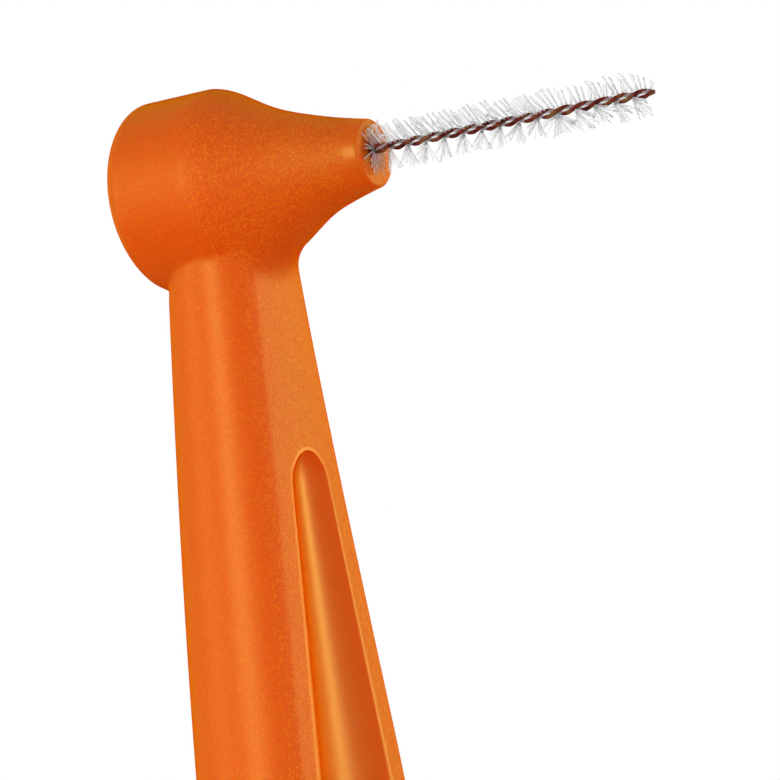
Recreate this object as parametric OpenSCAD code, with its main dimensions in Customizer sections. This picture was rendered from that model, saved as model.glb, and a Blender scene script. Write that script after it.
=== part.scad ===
// Angled interdental brush: a long moulded handle whose round head carries a short
// brush of fine filaments, held between the two legs of a twisted, coated steel wire.
// Lengths are in millimetres. +Z runs up the handle and +X is the way the brush points.
// The origin is the middle of the flat end of the handle's tail.
// A drop is a distance down the handle from the height of the head's axis.

/* [Handle] */
// Height at which the head's axis crosses the plane of the front edges
head_height = 130; // [120:1:150]
// Width of the shank where it enters the head
neck_width = 6.8; // [6.5:0.1:7.2]
// Thickness of the shank where it enters the head
neck_thickness = 5.3; // [5:0.1:5.6]
// Width of the shank's front face where it enters the head
neck_face_width = 4.75; // [4.4:0.05:5]
// Width of the shank where its straight flare ends
flare_width = 11.75; // [11.2:0.05:12.3]
// Thickness of the shank where its straight flare ends
flare_thickness = 7.1; // [6.8:0.1:7.4]
// Width of the front face where the straight flare ends
flare_face_width = 9.85; // [9.4:0.05:10.2]
// Drop to the end of the straight flare
flare_drop = 28; // [24:0.5:32]
// Greatest width of the handle, in the grip
grip_width = 12.8; // [12.4:0.1:13.4]
// Greatest thickness of the handle, in the grip
grip_thickness = 7.3; // [7:0.1:7.6]
// Width of the front face in the grip
grip_face_width = 10.9; // [10.5:0.1:11.3]
// Drop to the widest part of the grip
grip_drop = 39; // [35:0.5:44]
// Width of the waist below the grip
waist_width = 10.8; // [10.2:0.1:11.4]
// Thickness of the waist below the grip
waist_thickness = 5.8; // [5.4:0.1:6.2]
// Width of the front face at the waist
waist_face_width = 9; // [8.5:0.1:9.4]
// Drop to the waist
waist_drop = 82; // [78:1:90]
// Width of the tail before its rounded end
tail_width = 11.6; // [11:0.1:12.2]
// Thickness of the tail before its rounded end
tail_thickness = 4.8; // [4.4:0.1:5.2]
// Width of the front face at the tail
tail_face_width = 9.8; // [9.4:0.1:10.2]
// Height of the tail's widest place above its end
tail_rise = 11; // [8:0.5:14]
// Height of the crown of the front face above its edges
face_crown = 0.2; // [0.1:0.05:0.35]
// Radius of the tail's corners, seen from the front
tail_corner_radius = 3.6; // [3:0.1:4]
// Radius of the tail's edge, seen from the side
tail_edge_radius = 1.2; // [0.8:0.1:1.5]
// Radius of the hollow where the front face sweeps out under the nozzle
throat_radius = 2.5; // [1.8:0.1:3]

/* [Thumb channel] */
// Drop to the channel's upper end
channel_drop = 13.1; // [12:0.1:16]
// Length of the channel
channel_length = 62; // [50:1:70]
// Width of the strip of front face on each side of the channel
channel_margin = 1.45; // [1.2:0.05:1.7]
// Depth of the channel below the crowned face at its upper end
channel_top_depth = 0.5; // [0.3:0.05:0.7]
// Depth of the channel below the crowned face from the grip down
channel_depth = 0.9; // [0.6:0.05:1.1]
// Length over which each rounded end of the channel runs out
channel_end_length = 1.7; // [1.2:0.1:2.4]

/* [Head] */
// Angle by which the head points up from square to the handle
head_tilt = 2; // [0:0.25:6]
// Radius of the round head
drum_radius = 4.72; // [4.5:0.02:4.9]
// Distance from the front edges' plane back to the start of the domed end
drum_back = 5.2; // [4.8:0.05:5.4]
// Full depth of the dome, were it not cut flat
dome_depth = 1.95; // [1.7:0.05:2.2]
// Distance from the start of the dome back to its flat disc
disc_depth = 1.2; // [1:0.05:1.5]
// Distance from the front edges' plane back to the head's front shoulder
shoulder_back = 1.75; // [1.4:0.05:2.2]
// Distance from the front edges' plane to the nozzle's end face
nozzle_reach = 6.4; // [5.8:0.05:7.2]
// Radius of the nozzle at its end, before its edge is rounded
nozzle_end_radius = 1.7; // [1.6:0.01:1.85]
// Radius of the rounding at the nozzle's end edge
nozzle_edge_radius = 0.2; // [0.12:0.01:0.3]

/* [Brush] */
// Length of wire that stands out of the nozzle's end face
brush_length = 15.1; // [12:0.1:18]
// Angle by which the brush points up from square to the handle
brush_tilt = 1.2; // [0:0.1:4]
// Distance of the brush above the middle of the nozzle's end face
brush_rise = 0.17; // [0:0.01:0.25]
// Length of wire that is held inside the head
wire_anchor_length = 5; // [4:0.1:6.5]
// Diameter of the bare steel wire
wire_diameter = 0.13; // [0.11:0.005:0.15]
// Thickness of the plastic coat on the wire
coat_thickness = 0.035; // [0.025:0.005:0.045]
// Length in which the wire pair makes one full turn
twist_pitch = 2.016; // [1.9:0.002:2.3]
// Radius of the brush over the filaments' tips
brush_radius = 1.3; // [1.1:0.05:1.5]
// Thickness of the filament pack between the wires
pack_thickness = 0.07; // [0.05:0.005:0.08]
// Filament strands on each side of one tuft
strands_per_side = 13; // [10:1:14]
// Radius of the dimple round the wire in the nozzle's end face
dimple_radius = 0.55; // [0.45:0.01:0.7]
// Depth of the dimple
dimple_depth = 0.4; // [0.3:0.05:0.6]

/* [Fits] */
// Gap between the filament pack and each wire
pack_clearance = 0.01; // [0.005:0.001:0.02]
// Gap between the wire pair and the wall of its bore
bore_clearance = 0.02; // [0.01:0.005:0.05]
// Gap between one tuft's filament pack and the next
tuft_clearance = 0.02; // [0.01:0.005:0.04]

/* [Hidden] */
// How far a cut runs past the surface that it opens
overrun = 0.5;
// How fast the shank and its face widen and thicken, per unit of drop
neck_widening = 0.13;
neck_face_widening = 0.12;
neck_thickening = 0.13;
flare_widening = 0.22;
flare_face_widening = 0.25;
flare_thickening = 0.04;
// Drop to the top of the shank, as a share of the head's radius
neck_share = 0.86;
neck_drop = neck_share * drum_radius;
tail_drop = head_height - tail_rise;
// The front edges' plane stands half the grip's thickness in front of the handle's axis
front_x = grip_thickness / 2;

// Rows of drop, size and the size's rate of change there
width_rows = [
    [neck_drop, neck_width, neck_widening],
    [flare_drop, flare_width, flare_widening],
    [grip_drop, grip_width, 0],
    [waist_drop, waist_width, 0],
    [tail_drop, tail_width, 0]
];
thickness_rows = [
    [neck_drop, neck_thickness, neck_thickening],
    [flare_drop, flare_thickness, flare_thickening],
    [grip_drop, grip_thickness, 0],
    [waist_drop, waist_thickness, 0],
    [tail_drop, tail_thickness, 0]
];
face_rows = [
    [neck_drop, neck_face_width, neck_face_widening],
    [flare_drop, flare_face_width, flare_face_widening],
    [grip_drop, grip_face_width, 0],
    [waist_drop, waist_face_width, 0],
    [tail_drop, tail_face_width, 0]
];

// A smooth curve from a to b as t goes from 0 to 1, with the end slopes given
function eased(t, a, b, slope_a, slope_b) =
    a + (b - a) * t * t * (3 - 2 * t) + slope_a * t * (1 - t) * (1 - t) - slope_b * t * t * (1 - t);

// The size at a drop, from rows of drop, size and rate
function at_drop(drop, rows) =
    let (last = len(rows) - 1)
    drop <= rows[0][0] ? rows[0][1]
    : drop >= rows[last][0] ? rows[last][1]
    : let (
        i = max([for (k = [0:last - 1]) if (drop >= rows[k][0]) k]),
        step = rows[i + 1][0] - rows[i][0]
    )
    eased((drop - rows[i][0]) / step, rows[i][1], rows[i + 1][1],
        rows[i][2] * step, rows[i + 1][2] * step);

// What a quarter-round of this radius takes off at a height above its end
function round_off(height, radius) =
    height >= radius ? 0 : radius - sqrt(radius * radius - pow(radius - max(height, 0), 2));

// The front face sweeps out in an arc that meets the underside of the nozzle.
// Off the middle, the round nozzle is met higher, so the arc starts higher too, and the
// more so the further it has swept out, because the nozzle narrows that way.
throat_turn = 60;
throat_drop = neck_drop + throat_radius * tan(throat_turn / 2);
function round_sag(radius, y) = radius - sqrt(pow(radius, 2) - pow(min(y, radius), 2));
function throat_sweep(drop, y, ahead) =
    let (
        sag = round_sag(neck_drop - ahead * tan(90 - throat_turn), y),
        rise = min(throat_radius * sin(throat_turn), max(0, throat_drop - drop - sag))
    )
    throat_radius - sqrt(pow(throat_radius, 2) - pow(rise, 2));
// Three passes settle how far it has swept out
function throat(drop, y, passes = 3) =
    throat_sweep(drop, y, passes == 0 ? 0 : throat(drop, y, passes - 1));

// How open the channel is at a drop: 0 at its ends and 1 along its length
channel_foot = channel_drop + channel_length;
function openness(drop) =
    let (inside = min(drop - channel_drop, channel_foot - drop))
    inside <= 0 ? 0
    : inside >= channel_end_length ? 1
    : sqrt(1 - pow(1 - inside / channel_end_length, 2));

// Half the channel's width at a drop; beyond its ends the grid keeps a narrow share of it
closed_share = 0.2;
function channel_half(drop) =
    (at_drop(drop, face_rows) / 2 - channel_margin) * max(closed_share, openness(drop));
// The channel's depth in its middle at a drop
function channel_deep(drop) =
    let (t = min(1, max(0, (drop - channel_drop) / (grip_drop - channel_drop))))
    (channel_top_depth + (channel_depth - channel_top_depth) * t) * openness(drop);

// One half of the handle's outline at a drop, from the middle of its front to the middle of its back.
// The back and side are arcs that meet the front face in an edge.
channel_steps = 4;
side_steps = 8;
function half_outline(drop) =
    let (
        height = head_height - drop,
        corner = round_off(height, tail_corner_radius),
        edge = round_off(height, tail_edge_radius),
        half = at_drop(drop, width_rows) / 2 - corner,
        face = at_drop(drop, face_rows) / 2 - corner,
        depth = at_drop(drop, thickness_rows) - 2 * edge,
        front = front_x - (grip_thickness - at_drop(drop, thickness_rows)) * front_lean(drop) - edge,
        gap = half - face,
        radius = depth + gap - sqrt(2 * depth * gap),
        middle = [front - depth + radius, half - radius],
        start = acos((depth - radius) / radius),
        rim = min(channel_half(drop), face * rim_limit_share),
        face_ys = concat([for (i = [0:channel_steps]) rim * i / channel_steps], [(rim + face) / 2, face])
    )
    concat(
        [for (y = face_ys)
            let (hollow = channel_deep(drop) * max(0, 1 - pow(y / rim, 2)))
            [front + face_crown * (1 - pow(y / face, 2)) - hollow + throat(drop, y), y]],
        [for (i = [1:side_steps])
            let (a = start + (180 - start) * i / side_steps)
            middle + radius * [cos(a), sin(a)]],
        [[front - depth, 0]]
    );
// The channel's rim stays inside this share of the front face
rim_limit_share = 0.8;
// Below the grip the front face follows the thinning handle by half of what is lost
front_lean_share = 0.5;
function front_lean(drop) = drop <= grip_drop ? 0 : front_lean_share;

// The whole outline at a drop, round the handle once
function outline(drop) =
    let (half = half_outline(drop), n = len(half))
    concat(
        [for (p = half) [p[0], p[1], head_height - drop]],
        [for (i = [n - 2:-1:1]) [half[i][0], -half[i][1], head_height - drop]]
    );

// Drops from a up to b, not counting b, in even steps or crowded towards one end
function even(a, b, count) = [for (i = [0:count - 1]) a + (b - a) * i / count];
function crowded_low(a, b, count) = [for (i = [0:count - 1]) a + (b - a) * (1 - cos(90 * i / count))];
function crowded_high(a, b, count) = [for (i = [0:count - 1]) a + (b - a) * sin(90 * i / count)];
shank_drops = concat(
    [0],
    even(neck_drop / 2, throat_drop - throat_radius, 1),
    even(throat_drop - throat_radius, throat_drop, 6),
    even(throat_drop, channel_drop, 4),
    crowded_low(channel_drop, channel_drop + channel_end_length, 5),
    even(channel_drop + channel_end_length, flare_drop, 5),
    even(flare_drop, grip_drop, 4),
    even(grip_drop, channel_foot - channel_end_length, 8),
    crowded_high(channel_foot - channel_end_length, channel_foot, 5),
    even(channel_foot, tail_drop, 8),
    even(tail_drop, head_height - tail_corner_radius, 2),
    crowded_high(head_height - tail_corner_radius, head_height, 8),
    [head_height, head_height + overrun]
);

// A closed skin over rings of points that all have the same count, ends included
function skin_faces(rings, sides) = concat(
    [for (i = [1:sides - 2]) [0, i + 1, i]],
    [for (k = [0:rings - 2], i = [0:sides - 1], half = [0:1])
        let (a = k * sides + i, b = k * sides + (i + 1) % sides)
        half == 0 ? [a, b, b + sides] : [a, b + sides, a + sides]],
    let (base = (rings - 1) * sides)
    [for (i = [1:sides - 2]) [base, base + i, base + i + 1]]
);
function flipped(faces) = [for (f = faces) [f[0], f[2], f[1]]];
function flat(list) = [for (part = list) each part];

// The handle's bar, from inside the head down past the tail's flat end
module bar() {
    rings = [for (drop = shank_drops) outline(drop)];
    polyhedron(flat(rings), skin_faces(len(rings), len(rings[0])));
}

// Places things on the head's axis: +Z along the brush, from the front edges' plane
module on_head_axis(along = 0) {
    translate([front_x, 0, head_height])
        rotate([0, 90 - head_tilt, 0])
            translate([0, 0, along])
                children();
}

// Places things on the brush's own axis: +Z along the brush, from the nozzle's end face
module on_brush_axis(along = 0) {
    on_head_axis(nozzle_reach)
        translate([-brush_rise, 0, 0])
            rotate([0, head_tilt - brush_tilt, 0])
                translate([0, 0, along])
                    children();
}

// The head's outline as radius and place along its axis
dome_steps = 8;
nose_steps = 16;
edge_steps = 4;
shoulder_angle = 8.5;
shoulder_pull_share = 0.34;
nozzle_angle = 12;
nozzle_pull_share = 1.2;
function bezier(t, p) =
    pow(1 - t, 3) * p[0] + 3 * t * pow(1 - t, 2) * p[1] + 3 * t * t * (1 - t) * p[2] + pow(t, 3) * p[3];
nose_start = [drum_radius, -shoulder_back];
nose_end = [nozzle_end_radius, nozzle_reach - nozzle_edge_radius];
nose_curve = [
    nose_start,
    nose_start + shoulder_pull_share * drum_radius * [-sin(shoulder_angle), cos(shoulder_angle)],
    nose_end - nozzle_pull_share * drum_radius * [-sin(nozzle_angle), cos(nozzle_angle)],
    nose_end
];
head_outline = concat(
    [[0, -drum_back - disc_depth]],
    [for (i = [0:dome_steps])
        let (x = disc_depth * cos(90 * i / dome_steps))
        [drum_radius * sqrt(1 - pow(x / dome_depth, 2)), -drum_back - x]],
    [for (i = [0:nose_steps]) bezier(i / nose_steps, nose_curve)],
    [for (i = [1:edge_steps])
        let (a = 90 * i / edge_steps)
        nose_end + nozzle_edge_radius * [cos(a) - 1, sin(a)]],
    [[0, nozzle_reach]]
);

// The wire pair: its legs stand this far from the brush's axis
coat_radius = wire_diameter / 2 + coat_thickness;
leg_radius = coat_radius + pack_clearance + pack_thickness / 2;
pair_radius = leg_radius + coat_radius;
bore_radius = pair_radius + bore_clearance;

module handle() {
    color("darkorange")
        difference() {
            union() {
                bar();
                on_head_axis() rotate_extrude($fn = 96) polygon(head_outline);
            }
            // Bore that holds the wire pair
            on_brush_axis(-wire_anchor_length)
                cylinder(r = bore_radius, h = wire_anchor_length + overrun, $fn = 48);
            // Dimple round the wire
            on_brush_axis(-dimple_depth)
                cylinder(r = dimple_radius, h = dimple_depth + overrun, $fn = 48);
            // Flat end of the tail
            translate([-grip_width, -grip_width, -2 * overrun])
                cube([2 * grip_width, 2 * grip_width, 2 * overrun]);
        }
}

// The filaments fill the wire pair from just outside the nozzle to just short of the fold at the tip
tuft_count = 15;
fold_start = brush_length - pair_radius;
tuft_pitch = (fold_start - tuft_clearance) / tuft_count;
// The legs turn left-handed; this is the pair's angle at the nozzle's end face, from straight down
twist_start = 58;
function twist_at(along) = twist_start - 360 * along / twist_pitch;

// Rings of the wire at even steps, which the tufts share
wire_sides = 6;
steps_per_tuft = 5;
wire_step = tuft_pitch / steps_per_tuft;
anchor_steps = ceil(wire_anchor_length / wire_step);
fold_steps = 4;
// The leg's section lies square to the brush's axis, so its slant draws it out sideways
leg_stretch = sqrt(1 + pow(2 * PI * leg_radius / twist_pitch, 2));
leg_stations = concat(
    [-wire_anchor_length],
    [for (i = [1 - anchor_steps:tuft_count * steps_per_tuft]) i * wire_step],
    [fold_start]
);
// A ring round a leg at a place along the brush; turn is 0 for the leg that rises and 180 for the other
function leg_ring(along, turn, radius) =
    let (
        a = twist_at(along) + turn,
        out = [cos(a), sin(a), 0],
        side = (turn == 0 ? 1 : -1) * [-sin(a), cos(a), 0]
    )
    [for (i = [0:wire_sides - 1])
        let (b = 360 * i / wire_sides)
        [0, 0, along] + (leg_radius + radius * cos(b)) * out + radius * leg_stretch * sin(b) * side];
// A ring round the fold at the tip, at an angle from 0 to 180 round it
function fold_ring(bend, radius) =
    let (
        a = twist_at(fold_start),
        out = [cos(a), sin(a), 0],
        up = [0, 0, 1],
        side = [-sin(a), cos(a), 0],
        away = cos(bend) * out + sin(bend) * up
    )
    [for (i = [0:wire_sides - 1])
        let (b = 360 * i / wire_sides)
        fold_start * up + (leg_radius + radius * cos(b)) * away + radius * sin(b) * side];
// All rings of the wire at a radius, up one leg, round the fold and back down the other
function wire_rings(radius) = concat(
    [for (s = leg_stations) leg_ring(s, 0, radius)],
    [for (i = [1:fold_steps - 1]) fold_ring(180 * i / fold_steps, radius)],
    [for (i = [len(leg_stations) - 1:-1:0]) leg_ring(leg_stations[i], 180, radius)]
);

// One steel wire, folded at the tip, with its two legs twisted together
module steel_wire() {
    rings = wire_rings(wire_diameter / 2);
    color("silver")
        on_brush_axis()
            polyhedron(flat(rings), flipped(skin_faces(len(rings), wire_sides)));
}

// The coat follows the wire along its whole length and is open at the two cut ends
module wire_coating() {
    outer = wire_rings(coat_radius);
    inner = wire_rings(wire_diameter / 2);
    n = len(outer);
    shift = n * wire_sides;
    walls = [for (k = [0:n - 2], i = [0:wire_sides - 1], half = [0:1])
        let (a = k * wire_sides + i, b = k * wire_sides + (i + 1) % wire_sides)
        half == 0 ? [a, b + wire_sides, b] : [a, a + wire_sides, b + wire_sides]];
    ends = [for (i = [0:wire_sides - 1], half = [0:1])
        let (a = i, b = (i + 1) % wire_sides)
        half == 0 ? [a, b + shift, a + shift] : [a, b, b + shift]];
    top = (n - 1) * wire_sides;
    color("saddlebrown")
        on_brush_axis()
            polyhedron(
                concat(flat(outer), flat(inner)),
                concat(
                    walls,
                    [for (f = flipped(walls)) [for (v = f) v + shift]],
                    ends,
                    [for (f = flipped(ends)) [for (v = f) v + top]]
                )
            );
}

// A tuft is a slice of the filament pack between the legs, with strands out of both its edges.
// Each strand stands on its own part of the pack's edge and tapers to its tip.
strand_gap_share = 0.3;
function tuft_stations(first) =
    let (
        start = first + tuft_clearance / 2,
        slot = (tuft_pitch - tuft_clearance) / strands_per_side
    )
    [for (i = [0:strands_per_side - 1], end = [0:1])
        start + slot * (i + (end == 0 ? strand_gap_share / 2 : 1 - strand_gap_share / 2))];

// The pack's section at a place along the brush: four corners, thin across and reaching past the legs
function pack_ring(along) =
    let (
        a = twist_at(along) + 90,
        reach = [cos(a), sin(a), 0],
        across = [-sin(a), cos(a), 0]
    )
    [for (c = [[1, -1], [1, 1], [-1, 1], [-1, -1]])
        [0, 0, along] + c[0] * pair_radius * reach + c[1] * pack_thickness / 2 * across];

module bristle_tuft(number) {
    stations = tuft_stations((number - 1) * tuft_pitch + tuft_clearance);
    rings = len(stations);
    body = flat([for (s = stations) pack_ring(s)]);
    // Strand tips, one on each side for every second pair of stations
    tips = [for (k = [0:2:rings - 2], side = [0, 180])
        let (s = (stations[k] + stations[k + 1]) / 2, a = twist_at(s) + 90 + side)
        [brush_radius * cos(a), brush_radius * sin(a), s]];
    // Sides 0 and 2 of a ring are the pack's edges; a strand replaces them between its two stations
    walls = [for (k = [0:rings - 2], i = [0:3], half = [0:1])
        let (a = 4 * k + i, b = 4 * k + (i + 1) % 4)
        if (i % 2 == 1 || k % 2 == 1) half == 0 ? [a, b, b + 4] : [a, b + 4, a + 4]];
    strands = [for (k = [0:2:rings - 2], edge = [0:1], side = [0:3])
        let (
            a = 4 * k + 2 * edge,
            foot = [a, a + 1, a + 5, a + 4],
            tip = 4 * rings + k + edge
        )
        [foot[side], foot[(side + 1) % 4], tip]];
    base = 4 * (rings - 1);
    caps = [[0, 2, 1], [0, 3, 2], [base, base + 1, base + 2], [base, base + 2, base + 3]];
    color("white")
        on_brush_axis()
            polyhedron(concat(body, tips), flipped(concat(walls, strands, caps)));
}

function tuft_name(number) = str("bristle_tuft_", number < 10 ? "0" : "", number);
handle();
steel_wire();
wire_coating();
for (i = [1:tuft_count])
    bristle_tuft(i);
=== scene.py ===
"""Looks for an angled interdental brush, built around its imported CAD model.

The handle, the wire's coat and the filaments are remade here with finer meshes of the same
shapes and places as the CAD nodes, which they replace. The steel wire inside stays as packed.
Lengths are in millimetres and angles in degrees, in the CAD's own frame. Only the camera's clip,
the lamps, the floor's drop and the grain's height are in metres, and noise scales are per metre.
"""

import math
import random

import bpy
import numpy as np
from mathutils import Matrix, Vector
from mathutils.kdtree import KDTree

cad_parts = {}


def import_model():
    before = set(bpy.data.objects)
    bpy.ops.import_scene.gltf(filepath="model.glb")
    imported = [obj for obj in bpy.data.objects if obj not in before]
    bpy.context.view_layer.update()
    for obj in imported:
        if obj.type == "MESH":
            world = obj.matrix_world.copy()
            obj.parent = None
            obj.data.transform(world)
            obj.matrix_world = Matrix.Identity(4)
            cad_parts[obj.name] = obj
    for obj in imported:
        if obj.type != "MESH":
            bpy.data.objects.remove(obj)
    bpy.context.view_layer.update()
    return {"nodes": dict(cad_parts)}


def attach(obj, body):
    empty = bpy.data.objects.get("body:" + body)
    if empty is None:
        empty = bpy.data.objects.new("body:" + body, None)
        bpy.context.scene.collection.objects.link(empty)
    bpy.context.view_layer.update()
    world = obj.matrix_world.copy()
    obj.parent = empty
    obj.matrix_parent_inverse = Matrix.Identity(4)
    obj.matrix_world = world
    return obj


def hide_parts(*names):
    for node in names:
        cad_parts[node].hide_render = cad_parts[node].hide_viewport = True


MM = 0.001
SEED = 11
SEED_STEP = 1000

# ---------------------------------------------------------------- sizes shared with the CAD
HEAD_HEIGHT = 130.0
GRIP_THICKNESS = 7.3
FRONT_X = GRIP_THICKNESS / 2
FACE_CROWN = 0.2
TAIL_LENGTH = 11.0
TAIL_CORNER_RADIUS = 3.6
TAIL_EDGE_RADIUS = 1.2
HEAD_TILT = 2.0
DRUM_RADIUS = 4.72
DRUM_BACK = 5.2
DOME_DEPTH = 1.95
DISC_DEPTH = 1.2
SHOULDER_BACK = 1.75
NOZZLE_REACH = 6.4
NOZZLE_END_RADIUS = 1.7
NOZZLE_EDGE_RADIUS = 0.2
CHANNEL_LENGTH = 62.0
CHANNEL_MARGIN = 1.45
CHANNEL_TOP_DEPTH = 0.5
CHANNEL_DEPTH = 0.9
CHANNEL_END = 1.7
BRUSH_TILT = 1.2
BRUSH_RISE = 0.17
BRUSH_LENGTH = 15.1
BRUSH_RADIUS = 1.3
WIRE_ANCHOR = 5.0
COAT_RADIUS = 0.1
PACK_THICKNESS = 0.07
LEG_CLEARANCE = 0.01
BORE_CLEARANCE = 0.02
TWIST_PITCH = 2.016
TWIST_START = 58.0
DIMPLE_RADIUS = 0.55
DIMPLE_DEPTH = 0.4
TUFT_COUNT = 15
TUFT_GAP = 0.02

# The nozzle's curve: its slope at each end, and how far it follows that slope, in drum radii
NOSE_START_SLOPE = 8.5
NOSE_END_SLOPE = 12.0
NOSE_START_PULL = 0.34
NOSE_END_PULL = 1.2

# Drops are measured down from the head's axis
NECK_DROP = 0.86 * DRUM_RADIUS
CHANNEL_DROP = 13.1
SWELL_DROP = 28.0
GRIP_DROP = 39.0
CHANNEL_FOOT = CHANNEL_DROP + CHANNEL_LENGTH
WAIST_DROP = 82.0
TAIL_DROP = HEAD_HEIGHT - TAIL_LENGTH

LEG_RADIUS = COAT_RADIUS + LEG_CLEARANCE + PACK_THICKNESS / 2
PAIR_RADIUS = LEG_RADIUS + COAT_RADIUS
BORE_RADIUS = PAIR_RADIUS + BORE_CLEARANCE
FOLD_START = BRUSH_LENGTH - PAIR_RADIUS
TUFT_PITCH = (FOLD_START - TUFT_GAP) / TUFT_COUNT

# Rows of drop, size, and the size's rate of change there
WIDTH_ROWS = (
    (NECK_DROP, 6.8, 0.13),
    (SWELL_DROP, 11.75, 0.22),
    (GRIP_DROP, 12.8, 0.0),
    (WAIST_DROP, 10.8, 0.0),
    (TAIL_DROP, 11.6, 0.0),
)
THICKNESS_ROWS = (
    (NECK_DROP, 5.3, 0.13),
    (SWELL_DROP, 7.1, 0.04),
    (GRIP_DROP, GRIP_THICKNESS, 0.0),
    (WAIST_DROP, 5.8, 0.0),
    (TAIL_DROP, 4.8, 0.0),
)
FACE_ROWS = (
    (NECK_DROP, 4.75, 0.12),
    (SWELL_DROP, 9.85, 0.25),
    (GRIP_DROP, 10.9, 0.0),
    (WAIST_DROP, 9.0, 0.0),
    (TAIL_DROP, 9.8, 0.0),
)

# ---------------------------------------------------------------- camera
# Focal length, picture size and the place of the aim are in the photo's pixels
CAMERA_AZIMUTH = 29.0
CAMERA_ROLL = 8.76
CAMERA_DISTANCE = 250.0
CAMERA_FOCAL = 5187.0
PICTURE_SIZE = 780.0
AIM_PIXEL = (261.0, 178.0)
SENSOR_WIDTH = 36.0
CLIP_NEAR = 0.01
CLIP_FAR = 10.0


def make_camera():
    """The photo's viewpoint: turned from square to the handle's side, and rolled a little."""
    azimuth, roll = math.radians(CAMERA_AZIMUTH), math.radians(CAMERA_ROLL)
    aim = Vector((FRONT_X, 0.0, HEAD_HEIGHT))
    forward = Vector((-math.sin(azimuth), math.cos(azimuth), 0.0))
    level = Vector((math.cos(azimuth), math.sin(azimuth), 0.0))
    up = Vector((0.0, 0.0, 1.0))
    right = math.cos(roll) * level - math.sin(roll) * up
    top = math.sin(roll) * level + math.cos(roll) * up
    across = (AIM_PIXEL[0] - PICTURE_SIZE / 2) / CAMERA_FOCAL
    above = (PICTURE_SIZE / 2 - AIM_PIXEL[1]) / CAMERA_FOCAL
    place = aim - CAMERA_DISTANCE * (forward + across * right + above * top)
    data = bpy.data.cameras.new("camera")
    data.sensor_width = SENSOR_WIDTH
    data.lens = SENSOR_WIDTH * CAMERA_FOCAL / PICTURE_SIZE
    data.clip_start, data.clip_end = CLIP_NEAR, CLIP_FAR
    camera = bpy.data.objects.new("camera", data)
    turn = Matrix((right, top, -forward)).transposed()
    camera.matrix_world = Matrix.Translation(place * MM) @ turn.to_4x4()
    bpy.context.collection.objects.link(camera)
    bpy.context.scene.camera = camera


# ---------------------------------------------------------------- mesh helpers
def mesh_object(name, points, faces, material):
    """A smooth-shaded mesh object from points in millimetres."""
    mesh = bpy.data.meshes.new(name)
    mesh.from_pydata([tuple(p) for p in np.asarray(points) * MM], [], faces)
    mesh.validate()
    mesh.update()
    mesh.shade_smooth()
    mesh.materials.append(material)
    made = bpy.data.objects.new(name, mesh)
    bpy.context.collection.objects.link(made)
    return made


def vertex_places(mesh):
    """Where a mesh's vertices are, in millimetres."""
    places = np.zeros(len(mesh.vertices) * 3)
    mesh.vertices.foreach_get("co", places)
    return places.reshape(-1, 3) / MM


def tube_faces(rings, sides, base=0, cap_start=True, cap_end=True):
    """Quads round a stack of rings, with a face at each closed end."""
    faces = []
    for k in range(rings - 1):
        for i in range(sides):
            a = base + k * sides + i
            b = base + k * sides + (i + 1) % sides
            faces.append((a, b, b + sides, a + sides))
    if cap_start:
        faces.append(tuple(base + i for i in reversed(range(sides))))
    if cap_end:
        last = base + (rings - 1) * sides
        faces.append(tuple(last + i for i in range(sides)))
    return faces


def spread(a, b, count, ease=""):
    """Numbers from a up to b, not counting b, crowded at one end if asked."""
    shares = [i / count for i in range(count)]
    if ease == "low":
        shares = [1 - math.cos(math.pi / 2 * s) for s in shares]
    if ease == "high":
        shares = [math.sin(math.pi / 2 * s) for s in shares]
    return [a + (b - a) * s for s in shares]


def bezier(t, p):
    """A place on the cubic curve through four control points."""
    return tuple(
        (1 - t) ** 3 * p[0][j]
        + 3 * t * (1 - t) ** 2 * p[1][j]
        + 3 * t * t * (1 - t) * p[2][j]
        + t**3 * p[3][j]
        for j in (0, 1)
    )


# ---------------------------------------------------------------- axes
SIDE = np.array((0.0, 1.0, 0.0))


def tilted(degrees):
    """The ways along and down of an axis that points forward and up by an angle."""
    tilt = math.radians(degrees)
    along = np.array((math.cos(tilt), 0.0, math.sin(tilt)))
    down = np.array((math.sin(tilt), 0.0, -math.cos(tilt)))
    return along, down


def head_frame():
    """The head's axis: the place where it crosses the front edges' plane, and its ways."""
    return np.array((FRONT_X, 0.0, HEAD_HEIGHT)), *tilted(HEAD_TILT)


def brush_frame():
    """The brush's axis: its place in the nozzle's end face, and its ways."""
    centre, along, down = head_frame()
    return centre + along * NOZZLE_REACH - down * BRUSH_RISE, *tilted(BRUSH_TILT)


def in_brush(points):
    """Places given as down, side and along the brush, in the part's own directions."""
    start, along, down = brush_frame()
    p = np.asarray(points)
    return start + np.outer(p[:, 0], down) + np.outer(p[:, 1], SIDE) + np.outer(p[:, 2], along)


# ---------------------------------------------------------------- the handle's sizes
# What the front edges move back by, below the grip, as a share of what the thickness loses
EDGE_LEAN = 0.5


def at_drop(drop, rows):
    """The size at a drop, on the smooth curve through the rows."""
    if drop <= rows[0][0]:
        return rows[0][1]
    if drop >= rows[-1][0]:
        return rows[-1][1]
    i = max(k for k in range(len(rows) - 1) if drop >= rows[k][0])
    (d0, a, slope_a), (d1, b, slope_b) = rows[i], rows[i + 1]
    step = d1 - d0
    t = (drop - d0) / step
    return (
        a
        + (b - a) * t * t * (3 - 2 * t)
        + slope_a * step * t * (1 - t) ** 2
        - slope_b * step * t * t * (1 - t)
    )


def front_edge(drop):
    """Where the front edges stand at a drop."""
    lean = 0.0 if drop <= GRIP_DROP else EDGE_LEAN
    return FRONT_X - (GRIP_THICKNESS - at_drop(drop, THICKNESS_ROWS)) * lean


def round_off(height, radius):
    """What a quarter-round takes off at a height above its end."""
    if height >= radius:
        return 0.0
    return radius - math.sqrt(radius**2 - (radius - max(height, 0.0)) ** 2)


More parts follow.
